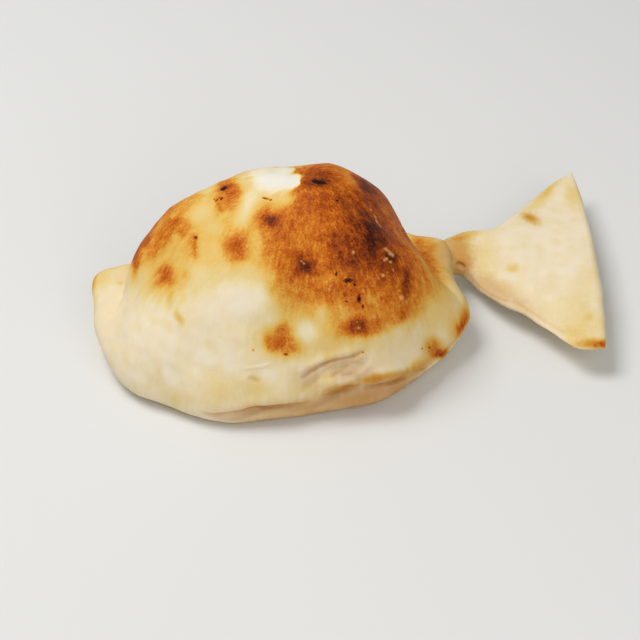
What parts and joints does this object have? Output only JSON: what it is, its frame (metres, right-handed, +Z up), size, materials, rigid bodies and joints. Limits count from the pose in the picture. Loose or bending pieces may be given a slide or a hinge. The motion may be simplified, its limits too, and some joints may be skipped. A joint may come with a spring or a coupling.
{
  "type": "calzone",
  "caption": "Baked calzone shaped like a fish: a puffed golden-brown body with a sealed edge, and a flat fan-shaped tail.",
  "frame": {"origin": "middle of the outline in plan, in the plane of the flat base", "axes": "+X towards the tail, +Y towards the folded back, +Z up"},
  "size_m": [0.2094, 0.149, 0.0735],
  "materials": {
    "crust": "dry baked bread crust, pale cream to golden and dark brown"
  },
  "bodies": {
    "root": {"calzone": "crust"}
  },
  "joints": []
}
